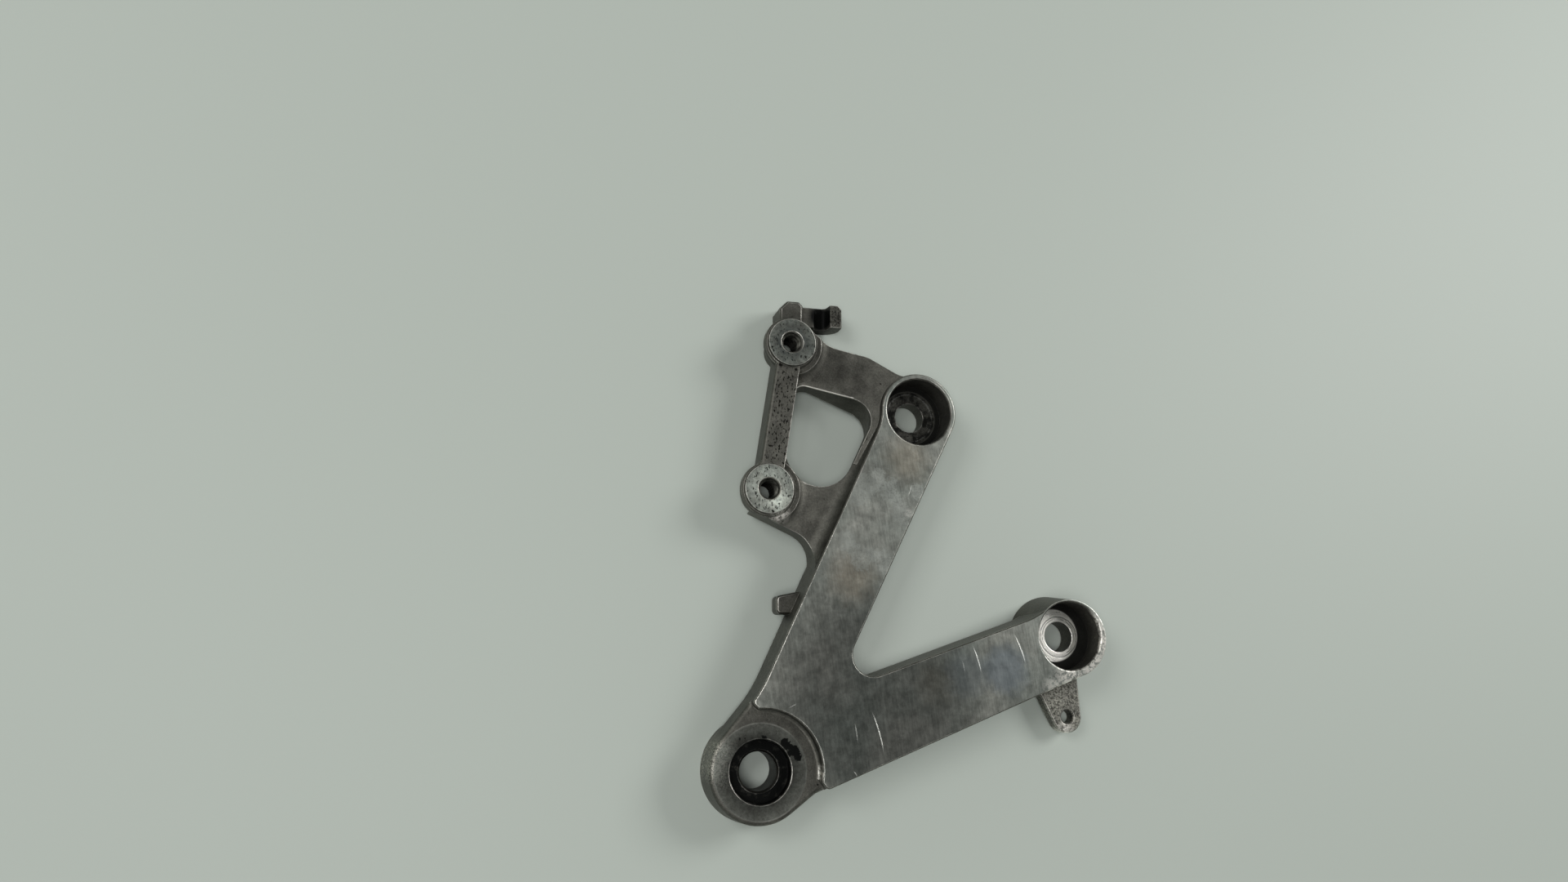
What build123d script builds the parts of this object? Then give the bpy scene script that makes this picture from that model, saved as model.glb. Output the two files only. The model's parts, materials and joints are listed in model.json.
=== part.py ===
"""Footrest bracket of a motorcycle: one aluminium casting.

Two arms run from the footpeg's boss to the frame's mounting bolts, and a lower web
beside the long arm carries the two bosses of a heel guard. The bracket lies on the
feet of its bosses. The origin is on the axis of the footpeg bore, level with those
feet: X runs to the right, Y up along the arms and Z out of the machined front face.
All sizes are in millimetres and all angles in degrees.
"""

import os
from math import acos, cos, degrees, radians, sin, sqrt, tan

from build123d import *

os.makedirs("parts", exist_ok=True)

# Axes of the bores, seen on the front face. The rear boss lies a little off its machined bore
upper_mount_x = 47.4
upper_mount_y = 102.7
rear_mount_x = 93.2
rear_mount_y = 37.3
rear_boss_x = 93.6
rear_boss_y = 36.7
upper_guard_x = 8.9
upper_guard_y = 122.0
lower_guard_x = 2.1
lower_guard_y = 77.9
spring_eye_x = 95.9
spring_eye_y = 13.8
peg = Vector(0, 0)
upper_mount = Vector(upper_mount_x, upper_mount_y)
rear_mount = Vector(rear_mount_x, rear_mount_y)
rear_boss = Vector(rear_boss_x, rear_boss_y)
upper_guard = Vector(upper_guard_x, upper_guard_y)
lower_guard = Vector(lower_guard_x, lower_guard_y)
spring_eye = Vector(spring_eye_x, spring_eye_y)

# Heights above the feet of the bosses
front_height = 15.0
peg_face_height = 12.0
back_height = 3.2
web_front_height = 10.0
strut_height = 12.0
guard_face_height = 12.9
guard_shoulder_height = 11.8
guard_shoulder_back = 8.6
guard_foot_height = 0.4

# Bosses, with their radii at the front
peg_boss_radius = 14.1
upper_boss_radius = 11.6
rear_boss_radius = 11.3
rear_boss_draft = 7.0
draft = 2.5

# Bores
mount_bore_radius = 4.5
mount_counterbore_radius = 10.0
upper_seat_depth = 8.8
rear_seat_depth = 7.6
peg_bore_radius = 5.25
peg_counterbore_radius = 8.5
peg_seat_depth = 3.05
rim_chamfer = 0.35
bore_chamfer = 0.7

# Long arm, its half-widths from the line between its two bores
long_left_foot = 9.6
long_left_head = 9.1
long_right_foot = 8.6

# Rear arm, its half-widths from the line between the footpeg bore and the rear boss
rear_upper_foot = 13.3
rear_upper_head = 9.2
rear_lower_foot = 11.2

# Rounding of the arms' outline, seen from the front
notch_radius = 6.0
long_flare_radius = 40.0
long_neck_radius = 18.0
rear_flare_radius = 25.0
rear_foot_radius = 6.0
long_flank_angle = 50.0                # flat sides that leave the footpeg's boss
rear_flank_angle = 37.0
flank_length = 28.0

# Step down to the footpeg's face
step_radius = 16.8
step_left_depth = 2.34                 # width of the step's square end on each flank
step_right_depth = 1.85
step_corner_radius = 1.3
step_cove_radius = 1.1
peg_edge_radius = 1.1
peg_edge_gap = 0.5                     # between the rounded edge's end and the raised front
edge_chamfer = 0.35

# Cored pockets in the back of the arms
pocket_wall = 4.0
pocket_depth = 3.6
pocket_rib = 4.0
pocket_corner_radius = 2.5
peg_boss_keep = 17.0
mount_boss_keep = 14.0

# Web, seen from the front
web_hem_x = 12.6
web_hem_y = 128.6
web_top_corner_x = 20.8
web_top_corner_y = 122.3
web_shoulder_x = 33.0
web_shoulder_y = 119.8
web_neck_x = 42.0
web_neck_y = 113.7
web_bay_corner_x = -2.4
web_bay_corner_y = 71.8
web_bay_angle = -24.5
web_hem = Vector(web_hem_x, web_hem_y)
web_top_corner = Vector(web_top_corner_x, web_top_corner_y)
web_shoulder = Vector(web_shoulder_x, web_shoulder_y)
web_neck = Vector(web_neck_x, web_neck_y)
web_bay_corner = Vector(web_bay_corner_x, web_bay_corner_y)
web_top_corner_radius = 12.0
web_shoulder_radius = 8.0
web_neck_radius = 5.0
web_overlap = 0.4                      # how far the web reaches into the boss beside it
bay_radius = 8.5
cove_radius = 4.5
cove_start = 55.0                      # along the long arm's left side
cove_length = 52.0
tangent_overlap = 0.1                  # keeps a rounding's cutter just inside the face it meets
ramp_foot_x = 28.9
ramp_foot_y = 107.0
ramp_foot = Vector(ramp_foot_x, ramp_foot_y)
ramp_direction = 76.0
ramp_slope = 18.0
ramp_foot_radius = 20.0

# Window in the web, at its front and back: centre and radius of its round end, then its two far corners
window_front_x = 17.8
window_front_y = 89.9
window_front_radius = 10.3
window_front_left_x = 10.3
window_front_left_y = 110.2
window_front_left_radius = 3.5
window_front_right_x = 36.3
window_front_right_y = 105.2
window_back_x = 18.6
window_back_y = 89.9
window_back_radius = 11.3
window_back_left_x = 10.6
window_back_left_y = 111.5
window_back_left_radius = 5.0
window_back_right_x = 36.2
window_back_right_y = 101.2
window_right_radius = 7.0
window_draft = 3.7

# Guard bosses and the strut between them
guard_ring_radius = 7.15
guard_shoulder_radius = 8.0
guard_shoulder_edge = 0.6
guard_collar_radius = 9.5              # low collar round each boss, on the web's side
guard_collar_rise = 1.0
guard_cove_width = 2.6                 # soft cove from the collar down to the web
guard_post_radius = 6.3
guard_foot_radius = 5.8
guard_thread_radius = 3.0
guard_thread_mouth = 0.4               # size of the chamfer at each end of the thread
strut_half_width = 3.5
strut_edge_radius = 0.9
strut_flank_angle = 51.0               # flat side that leaves the lower guard boss
strut_flank_offset = 7.0
strut_flank_length = 9.0

# Hose hook behind the upper guard boss
hook_foot_height = 0.4
hook_block_height = 9.5
hook_ledge_height = 7.0
hook_floor_height = 4.5
hook_lug_height = 8.5
hook_left = 5.9
hook_block_right = 13.1
hook_channel_left = 17.6
hook_channel_right = 21.9
hook_right = 25.6
hook_bottom = 129.0
hook_ledge_top = 134.9
hook_top = 135.9
hook_lug_lean = 0.5
hook_ledge_lean = 0.3
hook_outer_radius = 4.5
hook_inner_radius = 1.4
hook_left_corner = 2.4                 # corners of the block and the lug, cut off at 45 degrees
hook_middle_corner = 1.2
hook_lug_corner = 1.3
hook_edge_radius = 0.6

# Stop on the left of the long arm
stop_left = 5.2
stop_bottom = 42.8
stop_top = 47.8
stop_root = 14.0
stop_foot_rise = 3.2                   # how much higher each side is where it enters the arm
stop_head_rise = 1.9
stop_height = 8.5
stop_corner_radius = 1.3
stop_chamfer = 0.5

# Ear for the brake switch's spring
ear_foot_height = 1.5
ear_thickness = 4.0
ear_radius = 4.7
ear_hole_radius = 1.9
ear_hole_chamfer = 0.45
ear_left_angle = 116.6
ear_right_angle = 93.6
ear_side_length = 12.5
ear_chamfer = 0.4


def heading(angle):
    """Unit vector at an angle from X."""
    return Vector(cos(radians(angle)), sin(radians(angle)))


def left_of(direction):
    """The direction turned a quarter to the left."""
    return Vector(-direction.Y, direction.X)


def bar(foot, head, left_foot, left_head, right_foot, right_head):
    """Corners of a tapered bar between two axes, from its half-widths on each side."""
    side = left_of((head - foot).normalized())
    return [
        foot + side * left_foot,
        head + side * left_head,
        head - side * right_head,
        foot - side * right_foot,
    ]


def crossing(start, direction, other, other_direction):
    """Where two lines in the plane meet."""
    gap = other - start
    turn = direction.X * other_direction.Y - direction.Y * other_direction.X
    return start + direction * ((gap.X * other_direction.Y - gap.Y * other_direction.X) / turn)


def nearest(sketch, point, height):
    """The corner of a sketch that lies nearest to a point of the plan."""
    return sketch.vertices().sort_by_distance(Vector(point.X, point.Y, height))[0]


long_bar = bar(
    peg, upper_mount, long_left_foot, long_left_head, long_right_foot, upper_boss_radius
)
rear_bar = bar(
    peg, rear_boss, rear_upper_foot, rear_upper_head, rear_lower_foot, rear_boss_radius
)
long_left = (long_bar[1] - long_bar[0]).normalized()
long_right = (long_bar[2] - long_bar[3]).normalized()
rear_upper = (rear_bar[1] - rear_bar[0]).normalized()
rear_lower = (rear_bar[2] - rear_bar[3]).normalized()

# Each flank starts where it touches the footpeg's boss
long_flank = heading(long_flank_angle)
rear_flank = heading(rear_flank_angle)
long_flank_start = peg + left_of(long_flank) * peg_boss_radius
rear_flank_start = peg - left_of(rear_flank) * peg_boss_radius

# Outline of the arms
with BuildSketch(Plane.XY.offset(peg_face_height)) as outline:
    Polygon(*long_bar, align=None)
    Polygon(*rear_bar, align=None)
    Polygon(peg, long_flank_start, long_flank_start + long_flank * flank_length, align=None)
    Polygon(peg, rear_flank_start, rear_flank_start + rear_flank * flank_length, align=None)
    for centre, radius in (
        (peg, peg_boss_radius),
        (upper_mount, upper_boss_radius),
        (rear_boss, rear_boss_radius),
    ):
        with Locations(centre):
            Circle(radius)
    notch = crossing(long_bar[3], long_right, rear_bar[0], rear_upper)
    corners = (
        (notch, notch_radius),
        (crossing(long_flank_start, long_flank, long_bar[0], long_left), long_flare_radius),
        (crossing(rear_flank_start, rear_flank, rear_bar[3], rear_lower), rear_foot_radius),
        (long_bar[1] - long_left * sqrt(upper_boss_radius**2 - long_left_head**2), long_neck_radius),
        (rear_bar[1] - rear_upper * sqrt(rear_boss_radius**2 - rear_upper_head**2), rear_flare_radius),
    )
    for corner, radius in corners:
        fillet(nearest(outline, corner, peg_face_height), radius)

# Raised front of the arms, which ends at a step round the footpeg's face
with BuildSketch(Plane.XY.offset(peg_face_height)) as plateau:
    add(outline.sketch_local)
    with Locations(peg):
        Circle(step_radius, mode=Mode.SUBTRACT)
    for start, flank, side, depth in (
        (long_flank_start, long_flank, left_of(long_flank), step_left_depth),
        (rear_flank_start, rear_flank, left_of(rear_flank) * -1, step_right_depth),
    ):
        tip = start + flank * sqrt(step_radius**2 - (peg_boss_radius - depth)**2)
        Polygon(
            tip + side * 3, tip - side * 4, tip - side * 4 - flank * 6, tip + side * 3 - flank * 6,
            align=None, mode=Mode.SUBTRACT,
        )
        fillet(nearest(plateau, tip, 0), step_corner_radius)

# Cored pockets in the back, either side of a rib from the footpeg's boss to the notch
with BuildSketch(Plane.XY.offset(back_height)) as pockets:
    offset(outline.sketch_local, amount=-pocket_wall)
    for centre, radius in (
        (peg, peg_boss_keep), (upper_mount, mount_boss_keep), (rear_boss, mount_boss_keep)
    ):
        with Locations(centre):
            Circle(radius, mode=Mode.SUBTRACT)
    Polygon(*bar(peg, notch * 1.5, *[pocket_rib / 2] * 4), align=None, mode=Mode.SUBTRACT)
    sharp = [
        corner for corner in pockets.vertices()
        if any(
            abs(Vector(corner.X - centre.X, corner.Y - centre.Y).length - radius) < 0.01
            for centre, radius in (
                (peg, peg_boss_keep), (upper_mount, mount_boss_keep), (rear_boss, mount_boss_keep)
            )
        )
    ]
    fillet(sharp, pocket_corner_radius)

# Rounding of the footpeg's boss: what the rounded edge takes away beyond the raised front
with BuildPart() as rounding:
    with BuildSketch(Plane.XY.offset(peg_face_height)):
        offset(outline.sketch_local, amount=2)
    extrude(amount=-2 * peg_edge_radius)
    with BuildPart(mode=Mode.PRIVATE) as rounded:
        extrude(outline.sketch, amount=3 * peg_edge_radius, dir=(0, 0, -1), taper=-draft)
        fillet(rounded.faces().sort_by(Axis.Z)[-1].outer_wire().edges(), peg_edge_radius)
    add(rounded.part, mode=Mode.SUBTRACT)
    with BuildSketch(Plane.XY.offset(peg_face_height - 3 * peg_edge_radius)):
        offset(plateau.sketch_local, amount=peg_edge_gap)
    extrude(amount=4 * peg_edge_radius, mode=Mode.SUBTRACT)

with BuildPart() as arms:
    extrude(outline.sketch, amount=peg_face_height - back_height, dir=(0, 0, -1), taper=-draft)
    extrude(plateau.sketch, amount=front_height - peg_face_height)
    chamfer(arms.faces().sort_by(Axis.Z)[-1].outer_wire().edges(), edge_chamfer)
    step = [
        edge for edge in arms.edges().filter_by(GeomType.CIRCLE)
        if abs(edge.center().Z - peg_face_height) < 0.01 and abs(edge.radius - step_radius) < 0.01
    ]
    fillet(step, step_cove_radius)
    add(rounding.part, mode=Mode.SUBTRACT)
    for centre, radius in ((peg, peg_boss_radius), (upper_mount, upper_boss_radius)):
        with BuildSketch(Plane.XY.offset(peg_face_height - 2 * peg_edge_radius)):
            with Locations(centre):
                Circle(radius)
        extrude(amount=peg_face_height - 2 * peg_edge_radius, dir=(0, 0, -1), taper=-draft)
    with Locations(rear_boss):
        Cone(
            rear_boss_radius + front_height * tan(radians(rear_boss_draft)),
            rear_boss_radius,
            front_height,
            align=(Align.CENTER, Align.CENTER, Align.MIN),
        )

# Outline of the web, with the arm it grows from
with BuildSketch(Plane.XY.offset(back_height)) as web_outline:
    bay_foot = crossing(web_bay_corner, heading(web_bay_angle), long_bar[0], long_left)
    web_slope = (web_neck - web_shoulder).normalized()
    reach = (upper_mount - web_shoulder).dot(web_slope)
    aside = (upper_mount - web_shoulder - web_slope * reach).length
    chord = sqrt((upper_boss_radius - web_overlap)**2 - aside**2)
    web_neck_foot = web_shoulder + web_slope * (reach - chord)
    Polygon(
        upper_guard, web_hem, web_top_corner, web_shoulder, web_shoulder + web_slope * reach,
        upper_mount, bay_foot + heading(web_bay_angle) * bay_radius, bay_foot, web_bay_corner,
        lower_guard, align=None,
    )
    Polygon(long_bar[0], long_bar[1], upper_mount, peg, align=None)
    with Locations(upper_mount):
        Circle(upper_boss_radius - web_overlap)
    fillet(nearest(web_outline, bay_foot, 0), bay_radius)
    fillet(nearest(web_outline, web_top_corner, 0), web_top_corner_radius)
    fillet(nearest(web_outline, web_shoulder, 0), web_shoulder_radius)
    fillet(nearest(web_outline, web_neck_foot, 0), web_neck_radius)


def window_outline(height, centre, radius, left_corner, left_radius, right_corner, right_radius):
    """Opening of the window at a height: a round end with two sides up to two far corners."""
    with BuildSketch(Plane.XY.offset(height)) as opening:
        with Locations(centre):
            Circle(radius)
        sides = []
        for corner, turn in ((left_corner, 1), (right_corner, -1)):
            reach = corner - centre
            lean = degrees(acos(radius / reach.length))
            sides.append(centre + reach.rotate(Axis.Z, turn * lean).normalized() * radius)
        Polygon(centre, sides[0], left_corner, right_corner, sides[1], align=None)
        fillet(nearest(opening, left_corner, 0), left_radius)
        fillet(nearest(opening, right_corner, 0), right_radius)
    return opening.sketch


# The window's walls turn from its front opening to its back one
front_opening = window_outline(
    web_front_height, Vector(window_front_x, window_front_y), window_front_radius,
    Vector(window_front_left_x, window_front_left_y), window_front_left_radius,
    Vector(window_front_right_x, window_front_right_y), window_right_radius,
)
back_opening = window_outline(
    back_height, Vector(window_back_x, window_back_y), window_back_radius,
    Vector(window_back_left_x, window_back_left_y), window_back_left_radius,
    Vector(window_back_right_x, window_back_right_y), window_right_radius,
)
with BuildPart() as window:
    loft([back_opening, front_opening], ruled=True)
    extrude(front_opening, amount=6, taper=-window_draft)
    extrude(back_opening, amount=1, dir=(0, 0, -1))

# Web with its cove along the long arm and its ramp up to the upper mount
ramp_along = heading(ramp_direction)
ramp_plane = Plane(
    origin=(ramp_foot.X, ramp_foot.Y, 0), x_dir=(ramp_along.Y, -ramp_along.X, 0),
    z_dir=(-ramp_along.X, -ramp_along.Y, 0),
)
wall_foot = long_bar[0] + long_left * cove_start
cove_plane = Plane(
    origin=(wall_foot.X, wall_foot.Y, 0), x_dir=(-long_left.Y, long_left.X, 0),
    z_dir=(long_left.X, long_left.Y, 0),
)
with BuildPart() as web:
    with BuildSketch(ramp_plane) as ramp_profile:
        rise = 22 * tan(radians(ramp_slope))
        Polygon(
            (-6, web_front_height - 2), (22, web_front_height - 2), (22, web_front_height + rise),
            (0, web_front_height), (-6, web_front_height), align=None,
        )
        fillet(nearest(ramp_profile, Vector(0, web_front_height), 0), ramp_foot_radius)
    extrude(amount=20, both=True)
    with BuildSketch(cove_plane):
        Polygon(
            (-5, web_front_height - 2), (cove_radius, web_front_height - 2),
            (cove_radius, web_front_height), (0, web_front_height + cove_radius),
            (-5, web_front_height + cove_radius), align=None,
        )
        with Locations((cove_radius - tangent_overlap, web_front_height + cove_radius)):
            Circle(cove_radius, mode=Mode.SUBTRACT)
    extrude(amount=cove_length)
    guard_cove_radius = (guard_cove_width**2 + guard_collar_rise**2) / (2 * guard_collar_rise)
    for centre in (upper_guard, lower_guard):
        reach = guard_collar_radius + guard_cove_width
        with BuildSketch(Plane.XZ.offset(-centre.Y)):
            with Locations((centre.X, 0)):
                Polygon(
                    (0, web_front_height - 1), (reach, web_front_height - 1), (reach, web_front_height),
                    (guard_collar_radius, web_front_height + guard_collar_rise),
                    (0, web_front_height + guard_collar_rise), align=None,
                )
            with Locations((centre.X + reach - tangent_overlap / 2, web_front_height + guard_cove_radius)):
                Circle(guard_cove_radius, mode=Mode.SUBTRACT)
        revolve(axis=Axis((centre.X, centre.Y, 0), (0, 0, 1)))
    extrude(web_outline.sketch, amount=front_height - web_overlap - back_height, mode=Mode.INTERSECT)
    extrude(web_outline.sketch, amount=web_front_height - back_height)
    add(window.part, mode=Mode.SUBTRACT)

# Strut along the edge of the web, with a flat flank up to the lower guard boss
with BuildPart() as strut:
    with BuildSketch(Plane.XY.offset(back_height)):
        Polygon(
            *bar(lower_guard, upper_guard, *[strut_half_width] * 4), align=None
        )
        flank_start = lower_guard + left_of(heading(strut_flank_angle)) * strut_flank_offset
        flank_end = flank_start + heading(strut_flank_angle) * strut_flank_length
        Polygon(lower_guard, upper_guard, flank_end, flank_start, align=None)
    extrude(amount=strut_height - back_height)
    strut_left = left_of((upper_guard - lower_guard).normalized())
    left_edges = [
        edge for edge in strut.faces().sort_by(Axis.Z)[-1].edges()
        if (edge.center() - Vector(lower_guard.X, lower_guard.Y, strut_height)).dot(strut_left) > 1
    ]
    fillet(left_edges, strut_edge_radius)

# Bosses for the screws of the heel guard
with BuildPart() as guard_bosses:
    for centre in (upper_guard, lower_guard):
        with Locations((centre.X, centre.Y, guard_foot_height)):
            Cone(
                guard_foot_radius, guard_post_radius, guard_shoulder_back - guard_foot_height,
                align=(Align.CENTER, Align.CENTER, Align.MIN),
            )
        with Locations((centre.X, centre.Y, guard_shoulder_back)):
            Cylinder(
                guard_shoulder_radius, guard_shoulder_height - guard_shoulder_back,
                align=(Align.CENTER, Align.CENTER, Align.MIN),
            )
        with Locations((centre.X, centre.Y, guard_shoulder_height)):
            Cylinder(
                guard_ring_radius, guard_face_height - guard_shoulder_height,
                align=(Align.CENTER, Align.CENTER, Align.MIN),
            )
    shoulders = [
        edge for edge in guard_bosses.edges().filter_by(GeomType.CIRCLE)
        if abs(edge.radius - guard_shoulder_radius) < 0.01
    ]
    chamfer(shoulders, guard_shoulder_edge)

# Hose hook: a block behind the upper guard boss, and an open channel beside it
with BuildPart() as hook:
    with BuildSketch(Plane.XY.offset(hook_foot_height)) as hook_block:
        Polygon(
            (hook_left, upper_guard.Y), (hook_block_right, upper_guard.Y),
            (hook_block_right, hook_top), (hook_left, hook_top), align=None,
        )
        for side, size in ((hook_left, hook_left_corner), (hook_block_right, hook_middle_corner)):
            chamfer(nearest(hook_block, Vector(side, hook_top), 0), size)
    extrude(amount=hook_block_height - hook_foot_height)
    chamfer(hook.faces().sort_by(Axis.Z)[-1].outer_wire().edges(), hook_edge_radius)
    with BuildSketch(Plane.XZ.offset(-hook_bottom)) as channel:
        Polygon(
            (hook_block_right - 2, hook_foot_height), (hook_right, hook_foot_height),
            (hook_right, hook_lug_height), (hook_channel_right, hook_lug_height),
            (hook_channel_right - hook_lug_lean, hook_floor_height),
            (hook_block_right - 2, hook_floor_height),
            align=None,
        )
        for corner, radius in (
            ((hook_right, hook_foot_height), hook_outer_radius),
            ((hook_channel_right - hook_lug_lean, hook_floor_height), hook_inner_radius),
            ((hook_right, hook_lug_height), hook_edge_radius),
            ((hook_channel_right, hook_lug_height), hook_edge_radius),
        ):
            fillet(nearest(channel, Vector(*corner), 0), radius)
    extrude(amount=-(hook_top - hook_bottom))
    with BuildSketch(Plane.XZ.offset(-hook_bottom)) as ledge:
        Polygon(
            (hook_block_right - 2, hook_floor_height - 2), (hook_channel_left + 1.5, hook_floor_height - 2),
            (hook_channel_left + 1.5, hook_floor_height), (hook_channel_left, hook_floor_height),
            (hook_channel_left - hook_ledge_lean, hook_ledge_height),
            (hook_block_right - 2, hook_ledge_height),
            align=None,
        )
        fillet(nearest(ledge, Vector(hook_channel_left, hook_floor_height), 0), hook_inner_radius)
        ledge_top = Vector(hook_channel_left - hook_ledge_lean, hook_ledge_height)
        fillet(nearest(ledge, ledge_top, 0), hook_edge_radius)
    extrude(amount=-(hook_ledge_top - hook_bottom))
    with BuildSketch(Plane.XY) as hook_outline:
        Polygon(
            (hook_left - 1, upper_guard.Y - 1), (hook_right, upper_guard.Y - 1),
            (hook_right, hook_top), (hook_left - 1, hook_top), align=None,
        )
        chamfer(nearest(hook_outline, Vector(hook_right, hook_top), 0), hook_lug_corner)
    extrude(amount=front_height, mode=Mode.INTERSECT)

# Stop on the left of the long arm
with BuildPart() as stop:
    with BuildSketch(Plane.XY.offset(back_height)) as stop_outline:
        Polygon(
            (stop_left, stop_bottom), (stop_root - 4, stop_bottom),
            (stop_root, stop_bottom + stop_foot_rise), (stop_root, stop_top + stop_head_rise),
            (stop_left, stop_top), align=None,
        )
        for corner in ((stop_left, stop_bottom), (stop_left, stop_top)):
            fillet(nearest(stop_outline, Vector(*corner), 0), stop_corner_radius)
    extrude(amount=stop_height - back_height)
    chamfer(stop.faces().sort_by(Axis.Z)[-1].edges(), stop_chamfer)

# Ear for the brake switch's spring
with BuildPart() as ear:
    with BuildSketch(Plane.XY.offset(ear_foot_height)):
        with Locations(spring_eye):
            Circle(ear_radius)
        ear_left = heading(ear_left_angle)
        ear_right = heading(ear_right_angle)
        Polygon(
            spring_eye, spring_eye + left_of(ear_left) * ear_radius,
            spring_eye + left_of(ear_left) * ear_radius + ear_left * ear_side_length,
            spring_eye - left_of(ear_right) * ear_radius + ear_right * ear_side_length,
            spring_eye - left_of(ear_right) * ear_radius, align=None,
        )
    extrude(amount=ear_thickness)
    chamfer(ear.faces().sort_by(Axis.Z)[-1].edges() + ear.faces().sort_by(Axis.Z)[0].edges(), ear_chamfer)


def bore(centre, radius, bottom, top):
    """Round hole on the axis of a boss between two heights."""
    with Locations((centre.X, centre.Y, bottom)):
        Cylinder(
            radius, top - bottom, align=(Align.CENTER, Align.CENTER, Align.MIN),
            mode=Mode.SUBTRACT,
        )


def countersink(centre, radius, height, size, upward):
    """Chamfer of the mouth of a round hole, where it opens at a height."""
    low, high = (radius, radius + 2 * size) if upward else (radius + 2 * size, radius)
    with Locations((centre.X, centre.Y, height)):
        Cone(low, high, 2 * size, align=(Align.CENTER,) * 3, mode=Mode.SUBTRACT)


with BuildPart() as bracket:
    add(arms.part)
    add(web.part)
    add(strut.part)
    add(guard_bosses.part)
    add(hook.part)
    add(stop.part)
    add(ear.part)
    extrude(pockets.sketch, amount=pocket_depth, mode=Mode.SUBTRACT)
    for centre, seat_depth in ((upper_mount, upper_seat_depth), (rear_mount, rear_seat_depth)):
        bore(centre, mount_bore_radius, -1, front_height + 1)
        bore(centre, mount_counterbore_radius, front_height - seat_depth, front_height + 1)
        countersink(centre, mount_counterbore_radius, front_height, rim_chamfer, True)
        countersink(centre, mount_bore_radius, 0, bore_chamfer, False)
    peg_seat_height = peg_face_height - peg_seat_depth
    bore(peg, peg_bore_radius, -1, front_height)
    bore(peg, peg_counterbore_radius, peg_seat_height, front_height)
    countersink(peg, peg_counterbore_radius, peg_face_height, rim_chamfer, True)
    countersink(peg, peg_bore_radius, peg_seat_height, bore_chamfer, True)
    for centre in (upper_guard, lower_guard):
        bore(centre, guard_thread_radius, -1, front_height)
        countersink(centre, guard_thread_radius, guard_face_height, guard_thread_mouth, True)
        countersink(centre, guard_thread_radius, guard_foot_height, guard_thread_mouth, False)
    bore(spring_eye, ear_hole_radius, 0, front_height)
    countersink(spring_eye, ear_hole_radius, ear_foot_height + ear_thickness, ear_hole_chamfer, True)

bracket.part.label = "bracket"
export_step(bracket.part, "parts/bracket.step")
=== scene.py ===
"""Footrest bracket of a motorcycle, lying on a pale table under three softboxes.

The bracket is one aluminium casting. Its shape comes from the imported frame, and this script
gives it the finish of the used part, the screw threads in its two small bosses, and the
table, lamps and camera of the photograph. Sizes are in millimetres.
"""

import json
from math import cos, pi, radians, sin

import bpy
from mathutils import Matrix, Vector


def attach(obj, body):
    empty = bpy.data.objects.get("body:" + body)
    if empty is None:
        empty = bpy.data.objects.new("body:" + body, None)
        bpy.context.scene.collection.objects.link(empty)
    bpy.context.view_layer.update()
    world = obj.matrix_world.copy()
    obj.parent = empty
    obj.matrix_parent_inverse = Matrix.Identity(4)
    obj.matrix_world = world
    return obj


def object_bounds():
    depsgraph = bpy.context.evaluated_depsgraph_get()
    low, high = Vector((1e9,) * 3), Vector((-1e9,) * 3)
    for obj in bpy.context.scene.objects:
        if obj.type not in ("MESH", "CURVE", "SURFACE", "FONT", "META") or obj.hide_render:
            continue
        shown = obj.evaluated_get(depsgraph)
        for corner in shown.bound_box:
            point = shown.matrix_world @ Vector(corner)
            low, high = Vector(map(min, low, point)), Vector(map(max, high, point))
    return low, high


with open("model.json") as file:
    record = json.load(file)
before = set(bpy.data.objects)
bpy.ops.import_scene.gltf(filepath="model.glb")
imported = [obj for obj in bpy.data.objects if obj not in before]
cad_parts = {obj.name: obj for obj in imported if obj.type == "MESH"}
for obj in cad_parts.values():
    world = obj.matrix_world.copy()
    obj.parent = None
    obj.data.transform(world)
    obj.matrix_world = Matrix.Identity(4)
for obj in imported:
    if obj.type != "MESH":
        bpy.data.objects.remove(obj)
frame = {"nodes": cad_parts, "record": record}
cad_box = [list(corner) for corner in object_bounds()]


# The casting: aluminium, high-pressure die cast and left bare. Its front faces were cut flat,
# its bolt seats counterbored. Use has dulled it, filled the seats with grease and worn its edges.

def linear(code):
    """Linear colour from an sRGB hex value."""
    parts = [int(code[i:i + 2], 16) / 255 for i in (0, 2, 4)]
    return [c / 12.92 if c <= 0.04045 else ((c + 0.055) / 1.055) ** 2.4 for c in parts] + [1.0]


def add_node(tree, kind, values=None, out=0, **settings):
    """Adds a shader node, sets or links its inputs by name or number, and returns an output.

    A Map Range takes its value as input 0, and turns the range from 1 to 2 into 3 to 4. A Mix
    takes its factor as 0, and then two numbers as 2 and 3 or two colours as 6 and 7.
    """
    node = tree.nodes.new("ShaderNode" + kind)
    for name, value in settings.items():
        setattr(node, name, value)
    for socket, value in (values or {}).items():
        if isinstance(value, bpy.types.NodeSocket):
            tree.links.new(value, node.inputs[socket])
        else:
            node.inputs[socket].default_value = value
    return node.outputs[out] if node.outputs else None


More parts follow.
